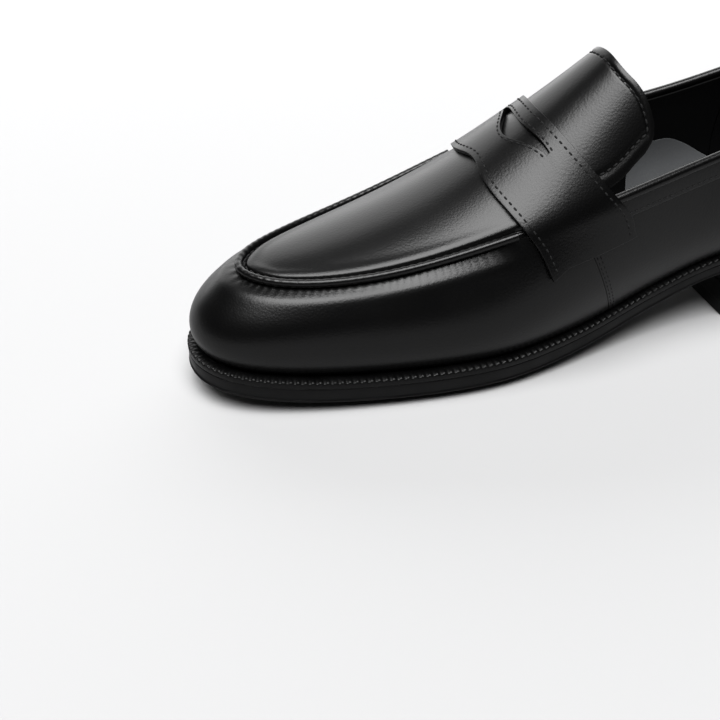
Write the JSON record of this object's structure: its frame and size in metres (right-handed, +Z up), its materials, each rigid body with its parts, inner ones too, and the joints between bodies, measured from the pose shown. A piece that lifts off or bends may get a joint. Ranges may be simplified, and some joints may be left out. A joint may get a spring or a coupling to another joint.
{
  "type": "penny loafer",
  "caption": "Black leather moccasin-toe slip-on shoe with a saddle strap and slot over the instep, welted sole and stacked heel; right foot.",
  "frame": {"origin": "middle of the sole's outline in plan, on the ground the shoe stands on", "axes": "toe towards -X and heel towards +X, the outer side of the foot towards +Y and the inner side towards -Y, +Z up"},
  "size_m": [0.3053, 0.0983, 0.1171],
  "materials": {
    "upper_leather": "semi-gloss black calf with a fine pebble grain",
    "lining_leather": "matt black lining leather",
    "sock_leather": "smooth dark grey lining leather",
    "sole_rubber": "matt black rubber with a fine line grain on its edge",
    "welt_leather": "black waxed edge, notched on top by a wheel",
    "board": "raw insole leather board",
    "cork": "raw cork sheet",
    "felt": "stiffened grey non-woven",
    "foam": "dark foam",
    "steel": "bare steel",
    "thread": "black waxed thread"
  },
  "bodies": {
    "shoe": {"outsole": "sole_rubber", "heel_top_piece": "sole_rubber", "heel_lift_lower": "welt_leather", "heel_lift_upper": "welt_leather", "heel_nail_1": "steel", "heel_nail_2": "steel", "heel_nail_3": "steel", "heel_nail_4": "steel", "heel_nail_5": "steel", "welt": "welt_leather", "cork_filler": "cork", "shank": "steel", "insole_board": "board", "heel_pad": "foam", "sock_liner": "sock_leather", "vamp_skirt": "upper_leather", "lateral_quarter": "upper_leather", "medial_quarter": "upper_leather", "vamp_lining": "lining_leather", "lateral_quarter_lining": "sock_leather", "medial_quarter_lining": "sock_leather", "heel_grip": "lining_leather", "lateral_collar_facing": "lining_leather", "medial_collar_facing": "lining_leather", "toe_puff": "felt", "heel_counter": "felt", "lateral_collar_band": "upper_leather", "medial_collar_band": "upper_leather", "backstay": "upper_leather", "topline_binding": "upper_leather", "apron": "upper_leather", "apron_lining": "lining_leather", "apron_bead": "upper_leather", "moc_seam_thread": "thread", "saddle_strap": "upper_leather"},
    "tongue": {"tongue": "upper_leather", "tongue_lining": "lining_leather"}
  },
  "joints": [
    {"name": "tongue_lift", "type": "hinge", "parent": "shoe", "child": "tongue", "pos_m": [-0.0045, 0, 0.096], "axis": [0, -1, 0], "range_deg": [0, 30], "stiffness_Nm_per_rad": 0.05}
  ]
}
